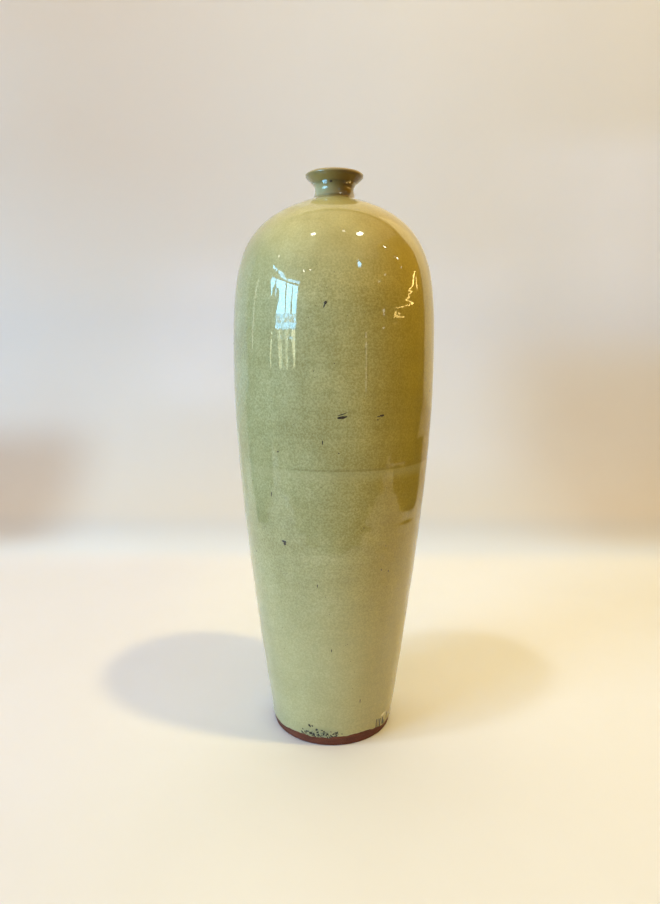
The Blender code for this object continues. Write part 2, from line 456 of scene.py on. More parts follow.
# Crawled spots near the foot: (angle, height, radius)
PITS = (
    (-20.5, 15.9, 0.8), (-19.8, 14.9, 0.55), (-17.8, 15.7, 0.6), (-13.8, 13.2, 0.75), (-14.4, 12.6, 0.5),
    (-23.2, 10.3, 0.6), (-20.6, 9.6, 0.5), (-18.9, 9.0, 0.6), (-16.6, 8.2, 0.7), (-12.7, 11.2, 0.5),
    (-9.1, 12.9, 0.5), (-7.3, 11.9, 0.6), (-7.8, 10.2, 0.5), (-4.7, 9.9, 0.5), (-1.2, 12.2, 0.4),
    (1.5, 10.5, 0.5), (5.0, 10.3, 0.4), (8.6, 10.1, 0.4), (-12.0, 8.6, 0.6), (-3.0, 8.6, 0.4),
)
FINE_PITS = 80  # small pits along the edge, thinning out upward
FINE_PITS_SEED = 5
FINE_PITS_FROM, FINE_PITS_TO = -29.0, 5.0
FINE_PITS_LOW, FINE_PITS_SPREAD = 0.5, 4.0
# Dark strokes at the right of the foot, where runs left the clay bare: (angle, foot, top, half width)
STROKES = (
    (44.4, 6.2, 14.6, 0.50), (46.9, 6.0, 14.0, 0.36), (49.4, 5.2, 13.4, 0.75), (53.8, 7.2, 12.6, 0.75),
    (55.9, 5.0, 9.4, 0.50), (61.5, 9.0, 14.0, 0.50),
)

STROKE_FOOT_FADE, STROKE_TOP_FADE = 1.5, 1.0
# Soft ovals: angle, height, half width, half height
# The droplet is a real thicker drip; its pale colour in the glaze is partly a painted highlight.
DROPLET = (53.0, 15.2, 2.8, 1.3)
STAIN = (-12.0, 10.0, 11.0, 4.0)
MARK_REACH = 4.0  # degrees round from a pit or stroke beyond which it is not felt


def round_mark(angle, height, centre_angle, centre_height, half_width, half_height):
    """1 at the centre of a soft-edged oval on the foot, and 0 well outside it."""
    across = radians(angle - centre_angle) * FOOT_RADIUS / half_width
    up = (height - centre_height) / half_height
    return exp(-(across * across + up * up))


def fine_pits():
    """The small pits along the glaze's edge in front: (angle, height, radius)."""
    rng = Random(FINE_PITS_SEED)
    found = []
    for _ in range(FINE_PITS):
        angle = rng.uniform(FINE_PITS_FROM, FINE_PITS_TO)
        height = glaze_edge(angle) + FINE_PITS_LOW + FINE_PITS_SPREAD * rng.random() ** 2
        found.append((angle, height, rng.uniform(0.30, 0.48)))
    return found


ALL_PITS = PITS + tuple(fine_pits())


def foot_marks(angle, height):
    """How bare, how stained and how thick with a drip the glaze is at a point near the foot."""
    bare = 0.0
    angle = wrapped(angle)
    for a, z, radius in ALL_PITS:
        if abs(angle - a) < MARK_REACH:
            bare = max(bare, round_mark(angle, height, a, z, radius, radius))
    for a, low, top, width in STROKES:
        if abs(angle - a) < MARK_REACH:
            along = smooth(low - STROKE_FOOT_FADE, low, height)
            along *= 1.0 - smooth(top - STROKE_TOP_FADE, top, height)
            bare = max(bare, along * round_mark(angle, 0.0, a, 0.0, width, 1.0))
    return bare, round_mark(angle, height, *STAIN), round_mark(angle, height, *DROPLET)


NO_MARKS = (0.0, 0.0, 0.0)
CLAY_INSET_FROM, CLAY_INSET_TO = 9.0, 14.0


def clay_inset(height):
    """How far the clay lies inside the glazed outline near the foot."""
    return FOOT_INSET + (GLAZE + GAP - FOOT_INSET) * smooth(CLAY_INSET_FROM, CLAY_INSET_TO, height)


RADIUS_STEP = 0.5
foot_radii = [wall_point(k * RADIUS_STEP)[0] for k in range(int(FINE_BAND / RADIUS_STEP) + 2)]


def glazed_radius(height):
    """Radius of the glazed outline in the band at the foot."""
    k = int(height / RADIUS_STEP)
    return foot_radii[k] + (foot_radii[k + 1] - foot_radii[k]) * (height / RADIUS_STEP - k)


# Shares of the way up from the glaze's edge to the top of the band, closer together near the edge
FOOT_RINGS = [1.0 - 0.045 * k for k in range(1, 18)]
FOOT_RINGS += [0.19, 0.15, 0.115, 0.085, 0.06, 0.04, 0.024, 0.012, 0.004, 0.0]
# The thickness of the coat near its edge
SWELLING = (1.3, 1.1, 0.26)  # height above the edge, spread, thickness
CURL_HEIGHT = 0.8
DRIP_THICKNESS = 0.6
PIT_DEPTH = 0.35
LIFT_FADE = 3.0  # the relief starts over this height above the edge
BACK_HEIGHTS = (9.0, 12.0, 15.0)  # of the back's rings in the band
BACK_LIFT = 0.05


def coat_thickness(above_edge, pit, drip):
    """Thickness of the coat near its edge, which is swollen and curls under."""
    centre, spread, thickness = SWELLING
    swell = thickness * bell(above_edge, centre, spread)
    curl = sqrt(1.0 - (1.0 - min(above_edge / CURL_HEIGHT, 1.0)) ** 2)
    return (FOOT_INSET + swell * (1.0 - pit) + DRIP_THICKNESS * drip - PIT_DEPTH * pit) * curl


def build_glaze_coat(material):
    """The celadon coat: outside from the mouth to the wavy edge at the foot, and its back."""
    def above_band(outline):
        return [p for p in outline if p[1] > FINE_BAND or p[0] < FOOT_RADIUS]

    outer = resampled([wall_point(FINE_BAND)] + above_band(face), OUTER_STEP)[::-1]
    rings = []
    for (r, z), (a, b) in zip(outer, corner_normals(outer)):
        length = hypot(a[0] + b[0], a[1] + b[1])
        outward = ((a[0] + b[0]) / length, (a[1] + b[1]) / length)

        def at(angle):
            lift = relief(angle, z)
            return place(r + outward[0] * lift, angle, z + outward[1] * lift)
        rings.append(ring(at, COLUMNS))
    marks = [NO_MARKS] * (len(rings) * COLUMNS)

    for share in FOOT_RINGS:
        def at_foot(angle):
            edge = glaze_edge(angle)
            height = edge + (FINE_BAND - edge) * share
            above_edge = height - edge
            pit, stain, drip = foot_marks(angle, height)
            marks.append((pit, stain, drip))
            thickness = coat_thickness(above_edge, pit, drip)
            lift = relief(angle, height) * smooth(0.0, LIFT_FADE, above_edge)
            return place(glazed_radius(height) - FOOT_INSET + thickness + lift, angle, height)
        rings.append(ring(at_foot, FINE_COLUMNS))

    back = [(glazed_radius(z) - min(clay_inset(z), GLAZE) + BACK_LIFT, z) for z in BACK_HEIGHTS]
    back_face = offset(face, GLAZE)
    back += resampled(above_band(back_face), BACK_STEP)[:-1] + back_face[-1:]
    rings += [ring(lambda angle: place(r, angle, z), COLUMNS) for r, z in back]
    marks += [NO_MARKS] * (len(back) * COLUMNS)
    piece = skin("glaze_coat", rings, material, closed=True)
    for name, values in zip(("bare", "stained", "drip_highlight"), zip(*marks)):
        layer = piece.data.attributes.new(name, "FLOAT", "POINT")
        layer.data.foreach_set("value", values)
    return piece


# Clay, slip and liner

BARE_BAND_TOP = 16.2  # the outline is finer up to here, and the grooves stop just below
GROOVES_TOP = 16.0
GROOVES = ((0.05, 1.7, 1), (0.03, 0.9, -2))  # turning marks: depth, spacing, starts
SPIRAL_DEPTH, SPIRAL_SPACING = 0.12, 2.6
SPIRAL_FROM, SPIRAL_TO = 1.0, 4.0  # it sets in between these radii
OUTER_SIDE = 2.0  # what is within this distance of the foot's radius is its outer side


def build_lower_clay(material):
    """Floor, foot ring and lower wall, with turning marks on the bare foot and base."""
    foot_radius = FOOT_RADIUS - FOOT_INSET
    recess_radius = foot_radius - FOOT_RING_WIDTH
    band = [(wall_point(z)[0] - clay_inset(z), z) for z in evenly(26, FOOT_BEVEL, BARE_BAND_TOP)]
    side = [p for p in clay_face[SEAM - 1::-1] if p[1] > FINE_BAND]
    edge = shifted(body_line, *below_seam, HALF_JOINT)
    bevel = arc((foot_radius - FOOT_BEVEL, FOOT_BEVEL), FOOT_BEVEL, 0, -90, 5)
    ring_face = [(r, 0.0) for r in evenly(8, foot_radius - FOOT_BEVEL, recess_radius + FOOT_BEVEL)[1:]]
    inner = arc((recess_radius + FOOT_BEVEL, FOOT_BEVEL), FOOT_BEVEL, -90, -180, 5)[1:]
    slope = [(recess_radius - FOOT_RECESS * t, FOOT_BEVEL + (FOOT_RECESS - FOOT_BEVEL) * t)
             for t in evenly(5)[1:]]
    base = [(r, FOOT_RECESS) for r in evenly(44, recess_radius - FOOT_RECESS, SPIRAL_FROM)[1:]]
    outline = cavity[:CAVITY_SEAM] + edge[::-1] + side + band[::-1] + bevel + ring_face + inner
    outline += slope + base + [(0.0, FOOT_RECESS)]
    rings = []
    for r, z in outline:
        def at(angle):
            turn = radians(angle)
            if z == FOOT_RECESS and r > 0.0:
                wave = SPIRAL_DEPTH * sin(2 * pi * r / SPIRAL_SPACING + turn)
                return place(r, angle, z + wave * smooth(SPIRAL_FROM, SPIRAL_TO, r))
            if FOOT_BEVEL < z < GROOVES_TOP and r > foot_radius - OUTER_SIDE:
                groove = sum(d * sin(2 * pi * z / spacing + k * turn) for d, spacing, k in GROOVES)
                return place(r + groove, angle, z)
            return place(r, angle, z)
        rings.append(ring(at, COLUMNS if r > 0.0 else 1))
    return skin("lower_clay", rings, material, closed=False)


def build_upper_clay(material):
    top = shifted(neck_line, *below_neck, HALF_JOINT)
    bottom = shifted(body_line, *above_seam, HALF_JOINT)
    outside = clay_face[NECK - 1:SEAM:-1]
    inside = cavity[CAVITY_SEAM + 1:CAVITY_BORE + 1]
    return turned("upper_clay", [top[0]] + outside + bottom + inside + top[:0:-1], material, True)


def build_neck_clay(material):
    bottom = shifted(neck_line, *above_neck, HALF_JOINT)
    outside = clay_face[:NECK:-1]
    inside = cavity[CAVITY_BORE + 2:-1]
    return turned("neck_clay", outside + bottom + inside, material, True)


def build_slip(name, line, above, below, material):
    top = shifted(line, *above, SLIP / 2)
    bottom = shifted(line, *below, SLIP / 2)
    return turned(name, [top[0]] + bottom + top[:0:-1], material, True)


def build_liner(material):
    back = offset(cavity, GAP)
    inner = offset(cavity, GAP + LINER)
    back[0], inner[0] = (0.0, back[1][1]), (0.0, inner[1][1])
    for line in (back, inner):
        line[-1] = towards(line[-1], line[-2], LINER_END)
    return turned("liner_coat", inner + back[::-1], material, False)


# Materials

BLACK = (0.0, 0.0, 0.0)


class Graph:
    """A material's nodes, made by short calls. Its heights and distances are in metres."""

    def __init__(self, name):
        self.material = bpy.data.materials.new(name)
        self.material.use_nodes = True
        self.nodes = self.material.node_tree.nodes
        self.links = self.material.node_tree.links
        self.shader = self.nodes["Principled BSDF"]
        self.place = self.nodes.new("ShaderNodeTexCoord").outputs["Object"]

    def put(self, socket, value):
        """Give a socket a node's output, a number, a vector, or a colour as a tuple."""
        if isinstance(value, bpy.types.NodeSocket):
            self.links.new(value, socket)
        elif isinstance(value, tuple):
            socket.default_value = (*value, 1.0)
        else:
            socket.default_value = value

    def set(self, **values):
        for name, value in values.items():
            self.put(self.shader.inputs[name.replace("_", " ")], value)

    def made(self, kind, output, inputs, **settings):
        """An output of a new node with these settings and inputs."""
        node = self.nodes.new("ShaderNode" + kind)
        for name, value in settings.items():
            setattr(node, name, value)
        for name, value in inputs.items():
            self.put(node.inputs[name], value)
        return node.outputs[output]

    def stretched(self, x, y, z):
        return self.made("Mapping", "Vector", {"Vector": self.place, "Scale": Vector((x, y, z))})

    def noise(self, size, detail=2.0, vector=None, roughness=0.5):
        """Noise whose lumps are about this many millimetres across."""
        return self.made("TexNoise", "Fac", {"Vector": vector or self.place, "Scale": 1.0 / (size * MM),
                                             "Detail": detail, "Roughness": roughness})

    def cells(self, size):
        """Distance to scattered points about this many millimetres apart."""
        return self.made("TexVoronoi", "Distance", {"Vector": self.place, "Scale": 1.0 / (size * MM)})

    def height(self):
        """Height above the foot."""
        return self.made("SeparateXYZ", "Z", {"Vector": self.place})

    def across(self):
        """Distance to the right of the vase's axis."""
        return self.made("SeparateXYZ", "X", {"Vector": self.place})

    def attribute(self, name):
        return self.made("Attribute", "Fac", {}, attribute_name=name)

    def math(self, operation, a, b=0.0):
        return self.made("Math", 0, {0: a, 1: b}, operation=operation)

    def times(self, product, *others):
        for each in others:
            product = self.math("MULTIPLY", product, each)
        return product

    def fade(self, value, low, high, first=0.0, last=1.0):
        """The value's range low to high spread smoothly over first to last."""
        return self.made("MapRange", "Result", {"Value": value, "From Min": low, "From Max": high,
                                                "To Min": first, "To Max": last},
                         interpolation_type="SMOOTHSTEP")

    def mix(self, share, a, b, blend="MIX"):
        """From colour a at a share of 0 to colour b at 1."""
        return self.made("Mix", 2, {"Factor": share, 6: a, 7: b}, data_type="RGBA", blend_type=blend)

    def tint(self, share, colour, factors):
        """The colour, multiplied by the factors where the share is 1."""
        return self.mix(share, colour, factors, "MULTIPLY")

    def bump(self, height, distance, strength=1.0, **under):
        """A normal from a height map, with its depth in millimetres."""
        return self.made("Bump", "Normal", {"Strength": strength, "Distance": distance * MM,
                                            "Height": height, **under})


def fine_grain(g):
    return g.noise(1.25, 2.0, roughness=0.75)


def mottled_with_painted_warm_light(g):
    """The glaze's ground: clouds, painted warm light that turns the right side amber, streaks, rings and
    grain.
    """
    height, across = g.height(), g.across()
    clouds = g.fade(g.noise(34.0, 3.0), 0.35, 0.65)
    colour = g.mix(clouds, (0.405, 0.380, 0.165), (0.455, 0.440, 0.205))
    # Painted warm light: the glaze turns amber towards the right, where the warm lamp lights it.
    colour = g.mix(g.fade(across, -0.020, 0.062), colour, (0.375, 0.272, 0.022))
    streaks = g.fade(g.noise(9.0, 3.0, g.stretched(1.0, 1.0, 0.35)), 0.35, 0.70, 0.0, 0.45)
    colour = g.tint(streaks, colour, (1.16, 1.16, 1.20))
    contrast = g.times(g.fade(height, 0.315, 0.350, 1.0, 0.40), g.fade(across, 0.015, 0.060, 1.0, 0.65))
    rings = g.fade(g.noise(5.0, 3.0, g.stretched(0.05, 0.05, 1.0)), 0.35, 0.65, 0.0, 0.50)
    colour = g.tint(g.times(rings, contrast), colour, (1.14, 1.14, 1.18))
    grain = fine_grain(g)
    colour = g.tint(g.times(g.fade(grain, 0.52, 0.38), contrast), colour, (0.84, 0.83, 0.76))
    return g.tint(g.times(g.fade(grain, 0.50, 0.64), contrast), colour, (1.17, 1.18, 1.26))


def body_tones_and_painted_sheen(g, colour):
    """Paler round the middle of the shoulder's turn, a painted reflection of the ceiling, and low on the
    body.
    """
    height, across = g.height(), g.across()
    # Painted reflection: the ceiling's light on the front of the shoulder's turn.
    from_turn = g.math("ABSOLUTE", g.math("SUBTRACT", height, 0.341))
    turn = g.times(g.fade(from_turn, 0.016, 0.038, 1.0, 0.0),
                   g.fade(g.math("ABSOLUTE", across), 0.026, 0.060, 1.0, 0.0))
    colour = g.tint(turn, colour, (1.17, 1.13, 1.11))
    low = g.times(g.fade(height, 0.060, 0.170, 0.42, 0.0), g.fade(across, 0.010, 0.040, 1.0, 0.7))
    return g.mix(low, colour, (0.60, 0.565, 0.30))


def neck_tones_and_painted_shade(g, colour):
    """The neck: paler to the left and dark brown to the right, painted light and shade; darker up its
    flare, partly thick glaze and partly painted shade; the line at its foot; and the lip.
    """
    height, across = g.height(), g.across()
    # Painted light and shade: pale where the window lights the neck's left, dark brown on its shaded right.
    neck_colour = g.mix(g.fade(across, -0.013, 0.009), (0.68, 0.60, 0.31), (0.27, 0.135, 0.0))
    # Darker up the flare: partly thicker glaze, partly painted shade.
    flare = g.fade(height, (NECK_WAIST_HEIGHT - 1.5) * MM, (NECK_WAIST_HEIGHT + 4.0) * MM)
    neck_colour = g.tint(flare, neck_colour, (0.42, 0.37, 0.24))
    foot = (NECK_BASE_HEIGHT + 0.6) * MM
    share = g.fade(height, (NECK_BASE_HEIGHT - 1.0) * MM, foot, 0.0, 0.88)
    colour = g.mix(share, colour, neck_colour)
    from_foot = g.math("ABSOLUTE", g.math("SUBTRACT", height, foot))
    colour = g.mix(g.fade(from_foot, 0.0004, 0.0014, 0.30, 0.0), colour, (0.13, 0.10, 0.030))
    lip = g.fade(height, (HEIGHT - 2.2) * MM, (HEIGHT - 0.9) * MM, 0.0, 0.75)
    return g.mix(lip, colour, (0.46, 0.35, 0.16))


def seam_tones(g, colour):
    """A fine dark line at the seam, weaker at both sides, with thin pale glaze just below it."""
    across = g.across()
    below = g.math("SUBTRACT", SEAM_MARK_HEIGHT * MM, g.height())
    thin = g.times(g.fade(below, 0.000, 0.0015), g.fade(below, 0.003, 0.010, 0.22, 0.0))
    colour = g.mix(thin, colour, (0.62, 0.58, 0.30))
    line = g.times(g.fade(g.math("ABSOLUTE", below), 0.0003, 0.0011, 0.30, 0.0),
                   g.fade(across, -0.040, -0.015, 0.15, 1.0),
                   g.fade(across, 0.035, 0.055, 1.0, 0.35))
    return g.mix(line, colour, (0.20, 0.18, 0.06))


def glaze_marks(g, colour):
    """Rare dark dots, and at the foot the stain, the pale drip with its painted highlight, and the bare
    pits and strokes.
    """
    dots = g.times(g.fade(g.cells(4.6), 0.05, 0.10, 0.75, 0.0), g.fade(g.noise(7.0, 1.0), 0.50, 0.60))
    colour = g.mix(dots, colour, (0.15, 0.115, 0.050))
    stain = g.times(g.attribute("stained"), g.fade(fine_grain(g), 0.35, 0.60))
    colour = g.mix(stain, colour, (0.14, 0.19, 0.13))
    # The drip's pale cream is partly its own glaze and partly a painted highlight.
    colour = g.mix(g.fade(g.attribute("drip_highlight"), 0.15, 0.6), colour, (0.85, 0.76, 0.44))
    return g.mix(g.fade(g.attribute("bare"), 0.15, 0.45), colour, (0.022, 0.024, 0.020))


def celadon_glaze():
    """A glossy grey-green glaze, smoother at the top of the shoulder."""
    g = Graph("celadon_glaze")
    colour = mottled_with_painted_warm_light(g)
    for layer in (body_tones_and_painted_sheen, neck_tones_and_painted_shade, seam_tones, glaze_marks):
        colour = layer(g, colour)
    g.set(Base_Color=colour, Roughness=0.4, IOR=1.5, Specular_IOR_Level=0.1,
          Coat_Weight=1.0, Coat_Roughness=0.03, Coat_IOR=1.5)
    peel = g.bump(g.times(g.noise(2.6, 2.0), g.fade(g.height(), 0.325, 0.350, 1.0, 0.15)), 0.012)
    g.set(Normal=peel, Coat_Normal=peel)
    return g.material


def liner_glaze():
    """The thinner green glaze inside."""
    g = Graph("liner_glaze")
    clouds = g.fade(g.noise(18.0, 3.0), 0.35, 0.65)
    colour = g.mix(clouds, (0.26, 0.28, 0.15), (0.34, 0.36, 0.21))
    grain = g.fade(g.noise(1.4, 3.0), 0.42, 0.62, 0.0, 0.4)
    colour = g.mix(grain, colour, (0.17, 0.17, 0.08))
    g.set(Base_Color=colour, Roughness=0.25, IOR=1.5, Coat_Weight=0.8, Coat_Roughness=0.08)
    g.set(Normal=g.bump(g.noise(3.0, 2.0), 0.04))
    return g.material


def bare_stoneware():
    """Gritty red-brown clay with fine dark lines and pores."""
    g = Graph("bare_stoneware")
    colour = g.mix(g.fade(g.noise(12.0, 3.0), 0.3, 0.7), (0.150, 0.034, 0.013), (0.215, 0.054, 0.022))
    lines = g.fade(g.noise(1.6, 3.0, g.stretched(0.12, 0.12, 1.0)), 0.35, 0.65, 0.0, 0.5)
    colour = g.mix(lines, colour, (0.085, 0.020, 0.009))
    grit = g.fade(g.noise(0.5, 2.0), 0.60, 0.72, 0.0, 0.7)
    colour = g.mix(grit, colour, (0.30, 0.11, 0.050))
    pores = g.fade(g.cells(1.3), 0.10, 0.22, 0.8, 0.0)
    colour = g.mix(pores, colour, (0.045, 0.018, 0.012))
    g.set(Base_Color=colour, Roughness=g.fade(g.noise(0.8, 2.0), 0.3, 0.7, 0.62, 0.85), IOR=1.45)
    rough = g.bump(g.noise(0.45, 3.0), 0.10, 0.8)
    g.set(Normal=g.bump(g.fade(g.cells(1.3), 0.05, 0.25), 0.12, 0.8, Normal=rough))
    return g.material


def joint_slip():
    """The clay slurry that joins the thrown sections."""
    g = Graph("joint_slip")
    colour = g.mix(g.fade(g.noise(2.0, 3.0), 0.3, 0.7), (0.19, 0.095, 0.055), (0.27, 0.15, 0.09))
    g.set(Base_Color=colour, Roughness=0.85, Normal=g.bump(g.noise(0.7, 3.0), 0.1))
    return g.material


def iron_speck():
    """Iron that bled through the glaze: near black, mottled with rust brown."""
    g = Graph("iron_speck")
    colour = g.mix(g.fade(g.noise(0.8, 2.0), 0.4, 0.7), (0.022, 0.017, 0.012), (0.075, 0.040, 0.018))
    g.set(Base_Color=colour, Roughness=0.35, Coat_Weight=0.6, Coat_Roughness=0.08)
    return g.material


# Specks

# Marks on the front: (angle, height, half width, half height, lean in degrees)
FRONT_SPECKS = (
    (-4.4, 310.0, 0.95, 1.3, 20), (-5.0, 308.2, 0.45, 1.6, 20),
    (4.0, 240.6, 3.1, 1.0, -8), (4.5, 242.7, 3.3, 0.34, -19),
    (25.5, 241.2, 1.7, 0.75, -4), (23.6, 240.7, 1.5, 0.32, -8), (23.2, 238.6, 0.50, 0.50, 0),
    (-30.4, 156.2, 1.8, 0.9, 4), (-30.0, 154.8, 1.0, 1.5, 4),
    (-9.3, 391.5, 0.9, 0.9, 0),
    (-31.2, 217.3, 0.6, 0.6, 0), (-37.4, 187.9, 0.45, 1.9, 4), (-5.8, 224.7, 0.4, 1.7, 0),
    (2.6, 217.9, 0.5, 0.5, 0), (67.5, 254.0, 0.7, 1.2, 0), (0.1, 273.7, 0.3, 0.4, 0),
    (-58.4, 142.0, 0.5, 0.6, 0),
    (31.5, 135.8, 0.45, 1.0, 0), (37.6, 133.6, 0.6, 0.8, 0), (-9.7, 127.2, 0.3, 1.5, 4),
    (-10.2, 269.1, 0.35, 0.35, 0), (-0.9, 78.6, 0.3, 1.5, 0), (23.0, 35.9, 0.35, 1.7, 0),
    (33.5, 152.6, 0.35, 0.6, 0), (17.8, 167.6, 0.4, 0.4, 0),
)
SPECK_SEED = 11
BACK_SPECKS = 30
NECK_LIFT = 0.18  # a flat speck on the hollow neck stands this much further out
SPECK_SIDES = 14
SPECK_RISE = 0.09
SPECK_ROWS = ((0.55, 0.075), (0.9, 0.03), (1.05, -0.10))  # share of the way out, height above the glaze
TANGENT_STEP = 0.5
PATH_STEPS = 120

SURFACE_PATH = [wall_point(z) for z in evenly(PATH_STEPS, 0.0, BELLY_HEIGHT)]
SURFACE_PATH += shoulder(PATH_STEPS // 2) + neck_face[:2 * NECK_STEPS]


def surface_point(angle, height):
    """A point on the glazed outside."""
    for (r0, z0), (r1, z1) in zip(SURFACE_PATH, SURFACE_PATH[1:]):
        if z0 <= height <= z1:
            share = (height - z0) / (z1 - z0)
            return Vector(place(r0 + (r1 - r0) * share + relief(angle, height), angle, height))
    raise ValueError(f"no surface at height {height}")


def surface_at(angle, height):
    """A point on the glazed outside, its outward normal, and the tangents round and up."""
    here = surface_point(angle, height)
    around = (surface_point(angle + TANGENT_STEP, height) - here).normalized()
    up = (surface_point(angle, height + TANGENT_STEP) - here).normalized()
    return here, around.cross(up).normalized(), around, up


def scattered_specks():
    """Specks for the sides and back, which differ in size as the ones in front do."""
    rng = Random(SPECK_SEED)
    found = []
    for _ in range(BACK_SPECKS):
        angle = rng.uniform(72.0, 288.0)
        height = rng.uniform(20.0, 350.0)
        size = 0.3 + 0.9 * rng.random() ** 3
        found.append((angle, height, size, size * rng.uniform(0.8, 2.4), rng.uniform(-30, 30)))
    return found


def build_specks(material):
    """Low domes with ragged outlines, lying on the glaze."""
    rng = Random(SPECK_SEED + 1)
    points, faces = [], []
    for angle, height, half_width, half_height, lean in list(FRONT_SPECKS) + scattered_specks():
        centre, normal, around, up = surface_at(angle, height)
        turn = radians(lean)
        across = (around * cos(turn) - up * sin(turn)) * half_width * MM
        along = (around * sin(turn) + up * cos(turn)) * half_height * MM
        ragged = [rng.uniform(0.78, 1.15) for _ in range(SPECK_SIDES)]
        start = len(points)
        if height > NECK_BASE_HEIGHT:
            centre += normal * NECK_LIFT * MM
        points.append(tuple(centre + normal * SPECK_RISE * MM))
        for spread, lift in SPECK_ROWS:
            for k in range(SPECK_SIDES):
                a = 2 * pi * k / SPECK_SIDES
                reach = spread * ragged[k]
                spot = centre + across * cos(a) * reach + along * sin(a) * reach
                points.append(tuple(spot + normal * lift * MM))
        counts = [1] + [SPECK_SIDES] * len(SPECK_ROWS)
        for p, q in zip(counts, counts[1:]):
            faces += bridge(p, q, start, start + p)
            start += p
    return new_piece("iron_specks", points, faces, material)


# Set, camera and light

ROOM_SIDES = 48


def direction(azimuth, elevation):
    """A unit vector: azimuth 0 is towards the front, positive to the right."""
    a, e = radians(azimuth), radians(elevation)
    return Vector((sin(a) * cos(e), -cos(a) * cos(e), sin(e)))


def level_circle(radius, height):
    """Points of a level circle about the vase's axis."""
    turns = [2 * pi * k / ROOM_SIDES for k in range(ROOM_SIDES)]
    return [(radius * sin(a), radius * cos(a), height) for a in turns]


def paper():
    """Plain pale matt paper, with the slow changes of tone that the room's light gives it."""
    g = Graph("paper")
    height, across = g.height(), g.across()
    colour = g.mix(g.fade(height, 0.0003, 0.032), (0.84, 0.86, 0.92), (0.66, 0.66, 0.70))
    colour = g.mix(g.fade(height, 0.10, 0.45), colour, (0.80, 0.76, 0.74))
    low = g.times(g.fade(height, 0.001, 0.022), g.fade(height, 0.16, 0.38, 1.0, 0.0))
    low_left = g.times(low, g.fade(across, -0.32, -0.46), g.fade(height, 0.09, 0.18, 1.0, 0.2))
    band = g.times(g.fade(height, 0.22, 0.32), g.fade(height, 0.56, 0.64, 1.0, 0.0))
    raised = g.math("SUBTRACT", height, g.fade(across, -0.05, 0.05, 0.10, 0.0))
    behind = g.times(g.fade(raised, 0.04, 0.12), g.fade(height, 0.36, 0.46, 1.0, 0.0))
    middle = g.fade(g.math("ABSOLUTE", across), 0.20, 0.36, 1.0, 0.0)
    for factors, where, share in (
        ((0.93, 0.82, 0.70), low, g.fade(across, 0.18, 0.42)),
        ((0.77, 0.65, 0.56), low_left, 1.0),
        ((0.88, 0.78, 0.68), g.fade(height, 0.17, 0.60), g.fade(across, 0.10, -0.45)),
        ((1.05, 1.09, 1.20), band, g.fade(across, 0.20, 0.50)),
        ((1.06, 1.08, 1.14), behind, middle),
        ((0.89, 0.95, 1.05), g.fade(height, 0.001, 0.010), g.fade(height, 0.018, 0.045, 1.0, 0.0)),
        ((0.91, 0.905, 0.97), g.fade(height, 0.0, 0.01, 1.0, 0.0), g.fade(across, -0.05, -0.25)),
    ):
        colour = g.tint(g.times(where, share), colour, factors)
    fibres = g.fade(g.noise(160.0, 4.0), 0.3, 0.7, 0.0, 0.12)
    g.set(Base_Color=g.mix(fibres, colour, (0.70, 0.68, 0.64)), Roughness=0.7)
    return g.material


# The sheet's edges and bend, and the room, as shares of the vase's height from its axis
FLOOR_FRONT = -0.79
SHEET_LEFT = -4.0
SHEET_RIGHT = 2.5
SWEEP_START = 0.75
SWEEP_RADIUS = 0.80
SWEEP_STEPS = 24
BACKDROP_TOP = 4.0
ROOM_REACH = 12.0
FLOOR_DROP = 0.5  # millimetres, from the sheet to the floor under it
FAR_WALL = (0.62, 0.58, 0.52)


def build_set():
    """A sheet that sweeps up behind the vase, the floor round it, and the far walls."""
    size = HEIGHT * MM
    path = [(FLOOR_FRONT, 0.0), (SWEEP_START, 0.0)]
    path += arc((SWEEP_START, SWEEP_RADIUS), SWEEP_RADIUS, -90, 0, SWEEP_STEPS)[1:]
    path.append((SWEEP_START + SWEEP_RADIUS, BACKDROP_TOP))
    points = [(x * size, y * size, z * size) for y, z in path for x in (SHEET_LEFT, SHEET_RIGHT)]
    faces = [(2 * i, 2 * i + 1, 2 * i + 3, 2 * i + 2) for i in range(len(path) - 1)]
    material = paper()
    sheet = new_piece("sheet", points, faces, material)
    reach, drop = ROOM_REACH * size, -FLOOR_DROP * MM
    corners = [(-reach, -reach, drop), (reach, -reach, drop), (reach, reach, drop), (-reach, reach, drop)]
    floor = new_piece("floor", corners, [(0, 1, 2, 3)], material)
    floor.visible_glossy = False
    pale = Graph("far_wall")
    pale.set(Base_Color=BLACK, Emission_Color=FAR_WALL, Emission_Strength=1.0)
    walls = skin("walls", [level_circle(reach, reach), level_circle(reach, drop)], pale.material, False)
    walls.visible_glossy = walls.visible_diffuse = walls.visible_shadow = False


LENS = 26.0
LONG_SIDE = 36.0
CAMERA_PLACE = (-2.35, -471.0, 289.0)
CAMERA_PITCH = 9.9  # degrees down
CAMERA_ROLL = 0.2
NEAREST = 0.01


def build_camera():
    data = bpy.data.cameras.new("camera")
    data.lens = LENS
    data.sensor_fit = "AUTO"
    data.sensor_width = LONG_SIDE
    data.clip_start = NEAREST
    camera = in_scene("camera", data)
    pitch = Matrix.Rotation(radians(90.0 - CAMERA_PITCH), 4, "X")
    roll = Matrix.Rotation(radians(CAMERA_ROLL), 4, "Z")
    camera.matrix_world = Matrix.Translation(Vector(CAMERA_PLACE) * MM) @ (pitch @ roll)
    bpy.context.scene.camera = camera


# The points that the lights and the mirrored panels are placed around
MIDDLE = Vector((0.0, 0.0, 200.0)) * MM
SHINE = Vector((0.0, -40.0, 315.0)) * MM
SHINE_TOP = Vector((0.0, -40.0, 350.0)) * MM
PANEL_DISTANCE = 2.2

